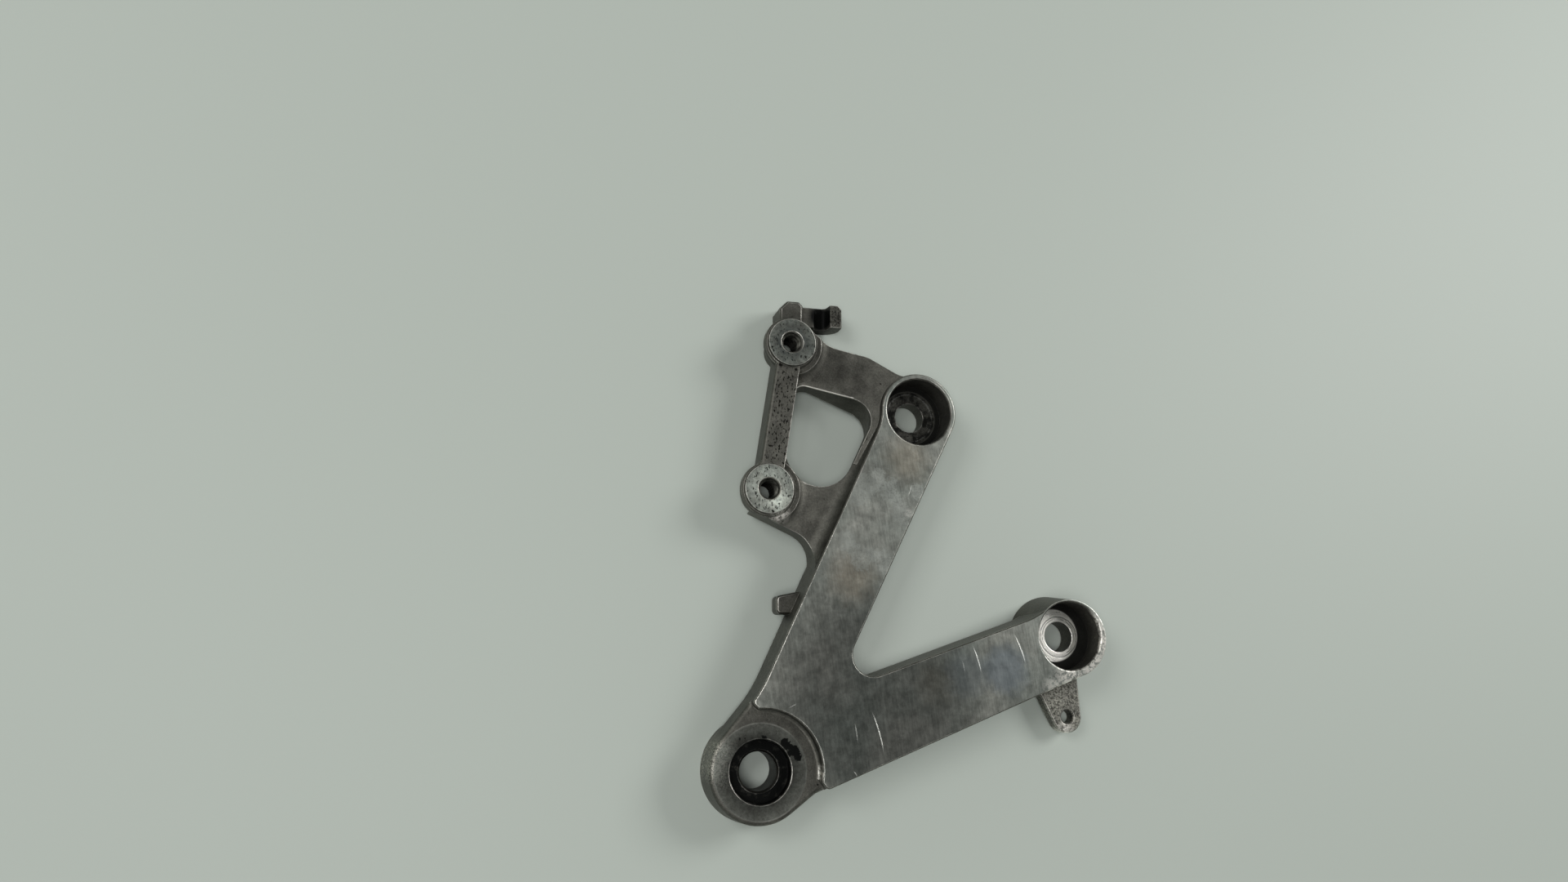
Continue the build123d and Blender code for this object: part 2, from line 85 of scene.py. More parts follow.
MM = 0.001
casting = frame["nodes"]["bracket"]
mounts = {mount["name"]: mount for mount in frame["record"]["mounts"]}
AXES = {
    name: (mounts[mount]["pos_m"][0] / MM, mounts[mount]["pos_m"][1] / MM, 0.0)
    for name, mount in (
        ("peg", "footpeg_bore"), ("upper", "upper_mount_bore"), ("rear", "rear_mount_bore"),
        ("guard_upper", "upper_guard_thread"), ("guard_lower", "lower_guard_thread"),
    )
}
FRONT = cad_box[1][2] / MM
PEG_FACE = mounts["footpeg_face"]["pos_m"][2] / MM
STRUT_TOP = 12.0
GUARD_FACE = 12.9
WEB_FACE = 10.0
COUNTERBORE_RADIUS = mounts["upper_mount_counterbore"]["dims"]["r_mm"]
PEG_COUNTERBORE_RADIUS = mounts["footpeg_counterbore"]["dims"]["r_mm"]
PEG_BORE_RADIUS = mounts["footpeg_bore"]["dims"]["r_mm"]
PEG_BOSS_RADIUS = 17.0
GUARD_BOSS_RADIUS = 7.5
GUARD_HOLE_REACH = 3.2
COLLAR_REACH = 12.0
STRUT_START = 40.0
SLACK = 0.15                           # a face's points lie within this of its height

# Bare die cast aluminium: a dull grey skin with the grain of the die, and paler and smoother
# where a cutter went over it
metal = bpy.data.materials.new("bare_die_cast_aluminium")
metal.use_nodes = True
tree = metal.node_tree
tree.nodes.clear()

# Place on the casting in millimetres, and the way that its surface looks: upward is 1 where it
# tilts by less than 10 degrees, and upright where it tilts by more than 73
coords = add_node(tree, "TexCoord", out="Object")
place = add_node(tree, "VectorMath", {0: coords, 3: 1 / MM}, operation="SCALE")
height = add_node(tree, "SeparateXYZ", {0: place}, out=2)
plan = add_node(tree, "VectorMath", {0: place, 1: (1, 1, 0)}, operation="MULTIPLY")
normal = add_node(tree, "NewGeometry", out="True Normal")
facing = add_node(tree, "SeparateXYZ", {0: normal}, out=2)
upward = add_node(tree, "MapRange", {0: facing, 1: 0.93, 2: 0.985})
upright = add_node(tree, "MapRange", {0: facing, 1: 0.5, 2: 0.3})
radius = {
    name: add_node(tree, "VectorMath", {0: plan, 1: axis}, operation="DISTANCE", out="Value")
    for name, axis in AXES.items()
}
for name, first, second in (("guard", "guard_upper", "guard_lower"), ("seat", "upper", "rear")):
    radius[name] = add_node(tree, "Math", {0: radius[first], 1: radius[second]}, operation="MINIMUM")

# Uneven tones, each by the size of its patches, from clouds down to the grain that the die leaves,
# which is drawn a little coarse so that it shows
noise = {
    name: add_node(
        tree, "TexNoise", {"Vector": place, "Scale": 1 / size, "Detail": detail, "Roughness": rough}
    )
    for name, size, detail, rough in (
        ("clouds", 20.0, 3.0, 0.6), ("wear", 10.0, 4.0, 0.6), ("blotches", 3.6, 6.0, 0.68),
        ("grease", 2.4, 6.0, 0.70), ("mottle", 1.1, 5.0, 0.7), ("grain", 0.52, 4.0, 0.65),
    )
}
patchy = add_node(tree, "MapRange", {0: noise["blotches"], 1: 0.34, 2: 0.56, 3: 0.35})
rubbed = add_node(tree, "MapRange", {0: noise["wear"], 1: 0.40, 2: 0.58, 3: 0.25})
fretted = add_node(tree, "MapRange", {0: noise["mottle"], 1: 0.36, 2: 0.56, 3: 0.4})
speckled = add_node(tree, "MapRange", {0: noise["mottle"], 1: 0.43, 2: 0.51, 3: 0.08})

# Hollows and edges: what lies in a corner is darkened, partly as dirt and partly as painted shade, and
# what stands proud is rubbed bright
HOLLOW_REACH = 5.0
EDGE_WIDTH = 0.4
LIP_WIDTH = 0.8
hollow = add_node(
    tree, "AmbientOcclusion", {"Distance": HOLLOW_REACH * MM}, out="AO", samples=8, only_local=True
)
soft_normal = add_node(tree, "Bevel", {"Radius": EDGE_WIDTH * MM}, samples=8)
turn = add_node(tree, "VectorMath", {0: soft_normal, 1: normal}, operation="DOT_PRODUCT", out="Value")
worn = add_node(tree, "MapRange", {0: turn, 1: 0.995, 2: 0.92})
proud = add_node(tree, "MapRange", {0: hollow, 1: 0.72, 2: 0.92})
for part in (proud, rubbed, fretted):
    worn = add_node(tree, "Math", {0: worn, 1: part}, operation="MULTIPLY")
lip_normal = add_node(tree, "Bevel", {"Radius": LIP_WIDTH * MM}, samples=8)
lip = add_node(tree, "VectorMath", {0: lip_normal, 1: normal}, operation="DOT_PRODUCT", out="Value")
lip = add_node(tree, "MapRange", {0: lip, 1: 0.99, 2: 0.95})

# Where each face lies: between two heights, and within or beyond a distance of an axis. The last
# value says that only what looks up counts.
level = {}
for name, low, high, axis, test, reach, looks_up in (
    ("front", FRONT - 0.3, FRONT + 1, "peg", "GREATER_THAN", 0.0, True),
    ("peg", PEG_FACE - SLACK, PEG_FACE + SLACK, "peg", "LESS_THAN", PEG_BOSS_RADIUS, True),
    ("strut", STRUT_TOP - SLACK, STRUT_TOP + SLACK, "peg", "GREATER_THAN", STRUT_START, True),
    ("guard", GUARD_FACE - SLACK, GUARD_FACE + SLACK, "guard", "LESS_THAN", GUARD_BOSS_RADIUS, True),
    ("guard_hole", 0.0, GUARD_FACE - 0.3, "guard", "LESS_THAN", GUARD_HOLE_REACH, False),
    ("seat", 1.0, FRONT - 0.4, "seat", "LESS_THAN", COUNTERBORE_RADIUS + 0.05, False),
    ("peg_seat", 1.0, PEG_FACE - 0.25, "peg", "LESS_THAN", PEG_COUNTERBORE_RADIUS + 0.1, False),
    ("collar", WEB_FACE - 1.0, STRUT_TOP - 0.1, "guard", "LESS_THAN", COLLAR_REACH, False),
):
    above = add_node(tree, "Math", {0: height, 1: low}, operation="GREATER_THAN")
    below = add_node(tree, "Math", {0: height, 1: high}, operation="LESS_THAN")
    near = add_node(tree, "Math", {0: radius[axis], 1: reach}, operation=test)
    level[name] = above
    for part in (below, near, upward) if looks_up else (below, near):
        level[name] = add_node(tree, "Math", {0: level[name], 1: part}, operation="MULTIPLY")

# The metal's three finishes, each between a darker and a paler tone. The cast skin is a dull warm
# grey from its oxide. The lower bosses' faces were cut and then scuffed by what was bolted on. The
# cut front of the arms is smoother and paler.
finish = {}
for name, pattern, low, dark, high, pale in (
    ("skin", "blotches", 0.32, "504f4a", 0.70, "6b6a63"),
    ("scuffed", "mottle", 0.36, "575a56", 0.62, "7c8079"),
    ("cut", "clouds", 0.35, "969b94", 0.65, "abaca4"),
):
    finish[name] = add_node(tree, "ValToRGB", {0: noise[pattern]})
    stops = finish[name].node.color_ramp.elements
    for stop, position, code in zip(stops, (low, high), (dark, pale)):
        stop.position = position
        stop.color = linear(code)

# Cast skin, speckled by its grain, and sandier where the die was worn: a place and its reach
speck = add_node(tree, "MapRange", {0: noise["grain"], 1: 0.35, 2: 0.62, 3: 0.78, 4: 1.10})
colour = add_node(
    tree, "Mix", {0: 1.0, 6: finish["skin"], 7: speck}, out=2, data_type="RGBA", blend_type="MULTIPLY"
)
sandy = add_node(tree, "MapRange", {0: noise["grain"], 1: 0.40, 2: 0.58, 3: 0.35, 4: 1.75})
for x, y, reach in (
    (96.0, 14.0, 12.0),                # spring's ear
    (26.0, 133.0, 6.0),                # hose hook's lug
    (-10.0, 2.0, 7.0),                 # outer side of the footpeg's boss
):
    away = add_node(tree, "VectorMath", {0: plan, 1: (x, y, 0)}, operation="DISTANCE", out="Value")
    amount = add_node(tree, "MapRange", {0: away, 1: reach, 2: 0.8 * reach, 4: 0.8})
    colour = add_node(
        tree, "Mix", {0: amount, 6: colour, 7: sandy}, out=2, data_type="RGBA", blend_type="MULTIPLY"
    )

# Scuffs, which end where the bolted part did
PEG_PRINT_RADIUS = 12.8
GUARD_PRINT_RADIUS = 7.4
for name, print_radius, strength in (("peg", PEG_PRINT_RADIUS, 0.5), ("guard", GUARD_PRINT_RADIUS, 1.0)):
    amount = add_node(
        tree, "MapRange", {0: radius[name], 1: print_radius + 0.3, 2: print_radius, 4: strength}
    )
    for part in (level[name], patchy):
        amount = add_node(tree, "Math", {0: amount, 1: part}, operation="MULTIPLY")
    colour = add_node(tree, "Mix", {0: amount, 6: colour, 7: finish["scuffed"]}, out=2, data_type="RGBA")

# Tones at given places, partly the uneven weathering of the cast parts and partly painted light and
# shade: a place, its reach and how much lighter
tone_and_painted_light = None
for x, y, reach, factor in (
    (96.0, 14.0, 12.0, 1.7),           # spring's ear
    (10.0, 133.0, 9.0, 0.92),          # hose hook's block
    (25.0, 133.0, 6.0, 0.48),          # hose hook's lug
    # painted shade where the web bends up into the ramp
    (30.0, 111.5, 10.0, 0.78),         # ramp to the upper boss
    (20.0, 116.5, 10.0, 0.56),         # top of the web
    (2.1, 77.9, 9.0, 2.3),             # lower guard boss
    (5.2, 73.6, 5.0, 1.8),             # its side towards the bay
    (14.0, 117.0, 4.5, 1.4),           # collar of the upper guard boss
    (-13.5, 4.0, 8.0, 1.9),            # outer edge of the footpeg's boss
    (9.0, 122.0, 8.0, 1.15),           # upper guard boss
    (8.0, -12.0, 10.0, 1.3),           # lower edge of the footpeg's boss
    # painted shade round the footpeg's bore, which dims the face and its reflection of the lamps
    (0.0, 0.0, 16.5, 0.24),            # round the footpeg's bore
):
    away = add_node(tree, "VectorMath", {0: plan, 1: (x, y, 0)}, operation="DISTANCE", out="Value")
    spot = add_node(
        tree, "MapRange", {0: away, 1: reach, 2: 0.4 * reach, 3: 1.0, 4: factor},
        interpolation_type="SMOOTHSTEP",
    )
    tone_and_painted_light = spot if tone_and_painted_light is None else add_node(tree, "Math", {0: tone_and_painted_light, 1: spot}, operation="MULTIPLY")
# the tones, with their painted light and shade, multiply the colour
colour = add_node(
    tree, "Mix", {0: 1.0, 6: colour, 7: tone_and_painted_light}, out=2, data_type="RGBA", blend_type="MULTIPLY"
)

# Cut front of the arms, with fine wiped lines that all run the same way. Painted shade makes it darkest
# where the arms meet, and a painted reflection of a lamp makes it palest half way up the long arm and a
# little paler near the rear end.
LINE_ANGLE = radians(98.0)
LINE_SPACING = 0.77
LINE_STRETCH = 0.12                    # width of a line for its length
line_along = (cos(LINE_ANGLE), sin(LINE_ANGLE), 0)
line_across = (-sin(LINE_ANGLE), cos(LINE_ANGLE), 0)
along, across = [
    add_node(tree, "VectorMath", {0: plan, 1: way}, operation="DOT_PRODUCT", out="Value")
    for way in (line_along, line_across)
]
along = add_node(tree, "Math", {0: along, 1: LINE_STRETCH}, operation="MULTIPLY")
drawn = add_node(tree, "CombineXYZ", {0: along, 1: across})
lines = add_node(
    tree, "TexNoise", {"Vector": drawn, "Scale": 1 / LINE_SPACING, "Detail": 5.0, "Roughness": 0.75}
)
arms_meet, rear_end, long_middle = [
    add_node(tree, "VectorMath", {0: plan, 1: (x, y, 0)}, operation="DISTANCE", out="Value")
    for x, y in ((32.0, 20.0), (84.0, 32.0), (33.0, 62.0))
]
cut_colour = finish["cut"]
for source, low, high, first, last in (
    (lines, 0.30, 0.70, 0.80, 1.16),
    (noise["blotches"], 0.34, 0.66, 0.94, 1.05),
    (noise["mottle"], 0.35, 0.65, 0.92, 1.07),
    # painted shade and a painted reflection of a lamp, by distance from three places
    (arms_meet, 18.0, 36.0, 0.54, 1.0),
    (rear_end, 8.0, 26.0, 1.0, 0.90),
    (long_middle, 8.0, 24.0, 1.16, 1.0),
):
    shade = add_node(
        tree, "MapRange", {0: source, 1: low, 2: high, 3: first, 4: last},
        interpolation_type="SMOOTHSTEP",
    )
    cut_colour = add_node(
        tree, "Mix", {0: 1.0, 6: cut_colour, 7: shade}, out=2, data_type="RGBA", blend_type="MULTIPLY"
    )
colour = add_node(tree, "Mix", {0: level["front"], 6: colour, 7: cut_colour}, out=2, data_type="RGBA")

# Faint tints on the front, blue-grey ones and the warm ones of old heat: a place, its size and
# soft edge, the colour and its strength. Their outlines drift by a few millimetres.
DRIFT_SIZE = 3.3
DRIFT_REACH = 6.0
drift = add_node(
    tree, "TexNoise", {"Vector": place, "Scale": 1 / DRIFT_SIZE, "Detail": 5.0, "Roughness": 0.62},
    out="Color",
)
drift = add_node(tree, "VectorMath", {0: drift, 1: (0.5, 0.5, 0.5)}, operation="SUBTRACT")
drift = add_node(tree, "VectorMath", {0: drift, 3: DRIFT_REACH}, operation="SCALE")
drifted = add_node(tree, "VectorMath", {0: plan, 1: drift}, operation="ADD")
drifted = add_node(tree, "VectorMath", {0: drifted, 1: (1, 1, 0)}, operation="MULTIPLY")
for x, y, size, edge, code, strength in (
    (72.0, 27.5, 8.5, 4.0, "8a949c", 0.6),
    (60.0, 26.0, 8.0, 4.0, "7f878c", 0.35),
    (26.0, 53.0, 9.0, 6.0, "9d917f", 0.5),
    (43.0, 88.0, 9.0, 6.0, "a89b86", 0.35),
    (50.0, 24.0, 8.0, 6.0, "6f6a5e", 0.3),
):
    away = add_node(tree, "VectorMath", {0: drifted, 1: (x, y, 0)}, operation="DISTANCE", out="Value")
    tint = add_node(tree, "MapRange", {0: away, 1: size, 2: size - edge, 4: strength})
    tint = add_node(tree, "Math", {0: tint, 1: level["front"]}, operation="MULTIPLY")
    colour = add_node(tree, "Mix", {0: tint, 6: colour, 7: linear(code)}, out=2, data_type="RGBA")

# Chalky films that dried on the long arm with ragged, grainy edges. They are two chains of round
# patches that run together, and a single one: a place and its size.
CHALK_JOIN = 1.2
CHALK_RAG = 1.3
chalk = None
for x, y, size in (
    (27.5, 76.5, 2.6), (30.2, 79.6, 2.9), (33.8, 81.4, 2.5), (36.8, 79.8, 2.3), (38.4, 76.8, 1.9),
    (39.6, 73.8, 1.9), (41.6, 71.0, 2.1), (24.6, 64.0, 1.9), (26.2, 60.8, 2.3), (28.6, 57.8, 2.6),
    (31.6, 59.8, 2.2), (34.8, 59.2, 1.9), (36.4, 56.2, 2.2), (46.0, 79.0, 1.9),
):
    away = add_node(tree, "VectorMath", {0: drifted, 1: (x, y, 0)}, operation="DISTANCE", out="Value")
    away = add_node(tree, "Math", {0: away, 1: size}, operation="SUBTRACT")
    chalk = away if chalk is None else add_node(
        tree, "Math", {0: chalk, 1: away, 2: CHALK_JOIN}, operation="SMOOTH_MIN"
    )
ragged = add_node(
    tree, "MapRange", {0: noise["mottle"], 1: 0.3, 2: 0.7, 3: -CHALK_RAG, 4: CHALK_RAG}
)
chalk = add_node(tree, "Math", {0: chalk, 1: ragged}, operation="ADD")
chalk = add_node(tree, "MapRange", {0: chalk, 1: 0.8, 2: 0.0, 4: 0.60})
grainy = add_node(tree, "MapRange", {0: noise["grain"], 1: 0.40, 2: 0.52, 3: 0.35})
for part in (grainy, level["front"]):
    chalk = add_node(tree, "Math", {0: chalk, 1: part}, operation="MULTIPLY")
colour = add_node(tree, "Mix", {0: chalk, 6: colour, 7: linear("bdc1ba")}, out=2, data_type="RGBA")

# Pits: thick on the strut and the guard's bosses, sparse elsewhere on the skin, and a little
# longer along the strut
PIT_SPACING = 0.67
PIT_STRETCH = 0.55                     # width of a pit for its length
stretched = add_node(tree, "VectorMath", {0: place, 1: (1.0, PIT_STRETCH, 1.0)}, operation="MULTIPLY")
pit_noise = add_node(
    tree, "TexNoise", {"Vector": stretched, "Scale": 1 / PIT_SPACING, "Detail": 3.0, "Roughness": 0.6}
)
pitted = add_node(tree, "Math", {0: level["guard"], 1: 0.75}, operation="MULTIPLY")
pitted = add_node(tree, "Math", {0: level["strut"], 1: pitted}, operation="MAXIMUM")
threshold = add_node(tree, "MapRange", {0: pitted, 3: 0.69, 4: 0.555})
over = add_node(tree, "Math", {0: pit_noise, 1: threshold}, operation="SUBTRACT")
pits = add_node(tree, "MapRange", {0: over, 1: 0.0, 2: 0.03})
uncut = add_node(tree, "Math", {0: 1.0, 1: level["front"]}, operation="SUBTRACT")
pits = add_node(tree, "Math", {0: pits, 1: uncut}, operation="MULTIPLY")
pit_tone = add_node(tree, "Math", {0: pits, 1: 0.95}, operation="MULTIPLY")

# Dirt and painted shade in the hollows, both thicker in the corners round the guard's bosses,
# and dirt round the mouth of the upper guard hole and inside both threads
# darker where the hollow closes in, which is painted shade as well as dirt
dirt_and_painted_shade = add_node(tree, "MapRange", {0: hollow, 1: 0.80, 2: 0.40, 4: 0.45})
# blotchy grime in the corners round the guard's bosses, darker where they are closed in, which is painted
# shade
grime_and_painted_shade = add_node(tree, "MapRange", {0: noise["blotches"], 1: 0.40, 2: 0.56, 4: 0.75})
shaded = add_node(tree, "MapRange", {0: hollow, 1: 0.99, 2: 0.85})
for part in (shaded, level["collar"]):
    grime_and_painted_shade = add_node(tree, "Math", {0: grime_and_painted_shade, 1: part}, operation="MULTIPLY")
stained = add_node(tree, "MapRange", {0: radius["guard_upper"], 1: 6.8, 2: 4.4, 4: 0.60})
for part in (level["guard"], patchy):
    stained = add_node(tree, "Math", {0: stained, 1: part}, operation="MULTIPLY")
for amount, code in (
    (pit_tone, "181714"), (stained, "2a2d2e"), (dirt_and_painted_shade, "2b2b26"), (grime_and_painted_shade, "24231e"),
    (level["guard_hole"], "151513"),
):
    colour = add_node(tree, "Mix", {0: amount, 6: colour, 7: linear(code)}, out=2, data_type="RGBA")

# Bright worn edges, and painted highlights in spots beside them, broken up like wear: a place, its reach,
# the heights between which it lies, how bright it is and the pattern that breaks it up
wear_and_painted_highlight = add_node(tree, "Math", {0: worn, 1: 0.85}, operation="MULTIPLY")
for x, y, reach, low, high, strength, texture in (
    (16.6, -0.5, 2.6, PEG_FACE + 0.1, FRONT - 0.1, 0.8, speckled),       # foot of the step
    (93.0, 25.0, 7.0, FRONT - 2.0, FRONT + 1, 1.0, speckled),            # rear boss, below the seat
    (87.0, 22.0, 4.5, FRONT - 1.0, FRONT + 1, 0.65, speckled),           # rear arm's lower edge
    (43.2, 72.0, 1.6, FRONT - 1.0, FRONT + 1, 0.45, speckled),           # long arm's right edge
    (103.5, 41.0, 6.0, FRONT - 1.2, FRONT + 1, 0.75, speckled),          # rear boss, right rim
    (59.0, 96.0, 4.0, FRONT - 1.5, FRONT + 1, 0.5, speckled),            # upper boss, right rim
    (100.0, 29.0, 6.0, FRONT - 1.2, FRONT + 1, 1.0, speckled),           # rear boss, lower rim
    (95.0, 9.2, 3.6, 1.0, 9.0, 0.9, speckled),                           # tip of the spring's ear
    (5.6, 71.0, 3.5, WEB_FACE - 0.5, STRUT_TOP + 0.5, 0.5, speckled),    # lower guard boss's collar
    (104.5, 35.0, 6.0, FRONT - 1.2, FRONT + 1, 0.9, speckled),           # rear boss, right rim
    (20.0, 108.5, 13.0, WEB_FACE - 1.4, WEB_FACE + 0.2, 1.0, lip),       # window's upper lip
    (9.0, 84.0, 8.0, WEB_FACE - 1.4, WEB_FACE + 0.2, 0.5, lip),          # window's lower left lip
):
    core = (0.4 if texture is lip else 0.3) * reach
    away = add_node(tree, "VectorMath", {0: plan, 1: (x, y, 0)}, operation="DISTANCE", out="Value")
    spot = add_node(tree, "MapRange", {0: away, 1: reach, 2: core, 4: strength})
    above = add_node(tree, "Math", {0: height, 1: low}, operation="GREATER_THAN")
    below = add_node(tree, "Math", {0: height, 1: high}, operation="LESS_THAN")
    for part in (above, below, texture):
        spot = add_node(tree, "Math", {0: spot, 1: part}, operation="MULTIPLY")
    wear_and_painted_highlight = add_node(tree, "Math", {0: wear_and_painted_highlight, 1: spot}, operation="MAXIMUM")

# Thin bright ring on the footpeg's face, where the bolted part's rim rubbed
ring_line = add_node(tree, "Math", {0: radius["peg"], 1: PEG_PRINT_RADIUS + 0.1}, operation="SUBTRACT")
ring_line = add_node(tree, "Math", {0: ring_line}, operation="ABSOLUTE")
ring_line = add_node(tree, "MapRange", {0: ring_line, 1: 0.30, 2: 0.10, 4: 0.2})
for part in (level["peg"], rubbed):
    ring_line = add_node(tree, "Math", {0: ring_line, 1: part}, operation="MULTIPLY")

# Scratches across the front, each slightly bowed: two ends, a width and how bright
SCRATCH_BOW = 0.012
scratches = None
for x0, y0, x1, y1, width, strength in (
    (31.3, 16.2, 34.7, 4.5, 0.16, 0.8), (62.2, 34.4, 64.6, 26.3, 0.13, 0.7),
    (75.4, 37.8, 78.6, 29.4, 0.14, 0.8), (26.0, 12.9, 26.8, 7.4, 0.15, 0.5),
    (7.0, 16.9, 9.2, 18.0, 0.18, 0.7), (44.6, 80.5, 43.3, 77.0, 0.14, 0.5),
    (25.4, 0.2, 26.8, -2.0, 0.14, 0.5), (58.6, 30.0, 59.4, 26.4, 0.12, 0.35),
):
    start, end = Vector((x0, y0, 0)), Vector((x1, y1, 0))
    way = (end - start).normalized()
    half_length = (end - start).length / 2
    offset = add_node(tree, "VectorMath", {0: plan, 1: start}, operation="SUBTRACT")
    run = add_node(tree, "VectorMath", {0: offset, 1: way}, operation="DOT_PRODUCT", out="Value")
    side = add_node(
        tree, "VectorMath", {0: offset, 1: (-way.y, way.x, 0)}, operation="DOT_PRODUCT", out="Value"
    )
    out = add_node(tree, "Math", {0: run, 1: half_length}, operation="SUBTRACT")
    bow = add_node(tree, "Math", {0: out, 1: 2.0}, operation="POWER")
    bow = add_node(tree, "Math", {0: bow, 1: SCRATCH_BOW, 2: side}, operation="MULTIPLY_ADD")
    bow = add_node(tree, "Math", {0: bow}, operation="ABSOLUTE")
    mark = add_node(tree, "MapRange", {0: bow, 1: width, 2: 0.3 * width, 4: strength})
    out = add_node(tree, "Math", {0: out}, operation="ABSOLUTE")
    ends = add_node(tree, "MapRange", {0: out, 1: half_length, 2: 0.5 * half_length})
    mark = add_node(tree, "Math", {0: mark, 1: ends}, operation="MULTIPLY")
    scratches = mark if scratches is None else add_node(
        tree, "Math", {0: scratches, 1: mark}, operation="MAXIMUM"
    )
scratches = add_node(tree, "Math", {0: scratches, 1: level["front"]}, operation="MULTIPLY")

# Turned seats: rings left by the cutter on the floors and in the walls, and the print of the
# washer on each floor, bright and off centre at the rear bolt, nearly lost in grease at the upper
RING_SPACING = 0.42                    # feed of the cutter for each turn
WASHER_RADIUS = 8.0
REAR_WASHER_SHIFT = Vector((-1.5, 0.4, 0.0))
REAR_SEAT_REACH = 12.0
broken = add_node(tree, "Math", {0: noise["blotches"], 1: 1.2}, operation="MULTIPLY")
turned = add_node(tree, "CombineXYZ", {0: radius["seat"], 1: height, 2: broken})
rings = add_node(
    tree, "TexNoise", {"Vector": turned, "Scale": 1 / RING_SPACING, "Detail": 3.0, "Roughness": 0.65}
)
seat_floor = add_node(tree, "Math", {0: level["seat"], 1: upward}, operation="MULTIPLY")
seat_wall = add_node(tree, "Math", {0: level["seat"], 1: upright}, operation="MULTIPLY")
rear_side = add_node(tree, "Math", {0: radius["rear"], 1: REAR_SEAT_REACH}, operation="LESS_THAN")
upper_side = add_node(tree, "Math", {0: 1.0, 1: rear_side}, operation="SUBTRACT")
washer = add_node(tree, "MapRange", {0: radius["upper"], 1: WASHER_RADIUS + 0.5, 2: WASHER_RADIUS})
rear_print = add_node(
    tree, "VectorMath", {0: plan, 1: Vector(AXES["rear"]) + REAR_WASHER_SHIFT},
    operation="DISTANCE", out="Value",
)
rear_print = add_node(tree, "MapRange", {0: rear_print, 1: WASHER_RADIUS, 2: WASHER_RADIUS - 0.4})
washer = add_node(tree, "Math", {0: washer, 1: rear_print}, operation="MAXIMUM")
washer = add_node(tree, "Math", {0: washer, 1: seat_floor}, operation="MULTIPLY")
rear_mark = add_node(tree, "MapRange", {0: rings, 1: 0.40, 2: 0.50, 3: 0.25})
for part in (washer, rear_side):
    rear_mark = add_node(tree, "Math", {0: rear_mark, 1: part}, operation="MULTIPLY")
upper_mark = add_node(tree, "MapRange", {0: rings, 1: 0.50, 2: 0.60, 4: 0.75})
towards_rim = add_node(tree, "MapRange", {0: radius["seat"], 1: 5.0, 2: WASHER_RADIUS, 3: 0.25})
for part in (washer, upper_side, towards_rim):
    upper_mark = add_node(tree, "Math", {0: upper_mark, 1: part}, operation="MULTIPLY")
# near white for the worn edges and the painted highlights, paler marks for the rest
for amount, code in (
    (ring_line, "b5b5ae"), (wear_and_painted_highlight, "fbf7ee"), (scratches, "d8d8d2"), (rear_mark, "fbf8f0"),
    (upper_mark, "a9aaa6"),
):
    colour = add_node(tree, "Mix", {0: amount, 6: colour, 7: linear(code)}, out=2, data_type="RGBA")

# Old grease: black, in the seats and the hose hook's channel, with the metal showing through where it
# was wiped. It is a soft dull film and not metal. In the channel the black is partly painted shade.
wiped = add_node(tree, "MapRange", {0: noise["grease"], 1: 0.62, 2: 0.56, 3: 0.45})
peg_out = add_node(tree, "Math", {0: radius["peg"], 1: PEG_BORE_RADIUS + 0.65}, operation="GREATER_THAN")
bare_floor = add_node(tree, "Math", {0: 1.0, 1: washer}, operation="SUBTRACT")
thick = add_node(tree, "MapRange", {0: seat_floor, 4: 0.92})
smear = add_node(tree, "MapRange", {0: noise["grease"], 1: 0.42, 2: 0.56, 3: 0.35, 4: 0.94})
wall_film = add_node(tree, "MapRange", {0: noise["grease"], 1: 0.60, 2: 0.42, 3: 0.10, 4: 0.45})
wall_out = add_node(
    tree, "Math", {0: radius["seat"], 1: COUNTERBORE_RADIUS - 1.0}, operation="GREATER_THAN"
)
# the hose hook's channel: its grime and painted shade, black below its top and near its middle
CHANNEL_CENTRE = (19.6, 132.5, 0.0)
CHANNEL_REACH = 5.2
CHANNEL_TOP = 8.2
channel = add_node(tree, "VectorMath", {0: plan, 1: CHANNEL_CENTRE}, operation="DISTANCE", out="Value")
channel = add_node(tree, "MapRange", {0: channel, 1: CHANNEL_REACH, 2: 3.0})
shallow = add_node(tree, "Math", {0: height, 1: CHANNEL_TOP}, operation="LESS_THAN")
grease = None
for film, *limits in (
    (wiped, peg_out, level["peg_seat"]),
    (thick, bare_floor),
    (smear, washer, upper_side),
    (wall_film, seat_wall, wall_out),
    (channel, shallow),
):
    for part in limits:
        film = add_node(tree, "Math", {0: film, 1: part}, operation="MULTIPLY")
    grease = film if grease is None else add_node(tree, "Math", {0: grease, 1: film}, operation="MAXIMUM")
# Blots of it on the footpeg's face, the first four in one smear: a place and its size
for x, y, size in (
    (6.7, 7.6, 1.2), (7.8, 6.5, 1.5), (9.0, 5.3, 1.7), (10.2, 4.0, 1.3),
    (-5.9, 8.8, 0.5), (16.0, -3.6, 0.45), (0.7, 8.9, 0.9),
):
    ragged = add_node(
        tree, "Math", {0: noise["grease"], 1: -2.7 * size, 2: 1.35 * size}, operation="MULTIPLY_ADD"
    )
    away = add_node(tree, "VectorMath", {0: plan, 1: (x, y, 0)}, operation="DISTANCE", out="Value")
    away = add_node(tree, "Math", {0: away, 1: ragged}, operation="ADD")
    blot = add_node(tree, "MapRange", {0: away, 1: size, 2: size - 0.25})
    blot = add_node(tree, "Math", {0: blot, 1: upward}, operation="MULTIPLY")
    grease = add_node(tree, "Math", {0: grease, 1: blot}, operation="MAXIMUM")
colour = add_node(tree, "Mix", {0: grease, 6: colour, 7: linear("090a09")}, out=2, data_type="RGBA")
filmed = add_node(tree, "Math", {0: grease, 1: level["guard_hole"]}, operation="MAXIMUM")
metallic = add_node(tree, "MapRange", {0: filmed, 3: 1.0, 4: 0.0})

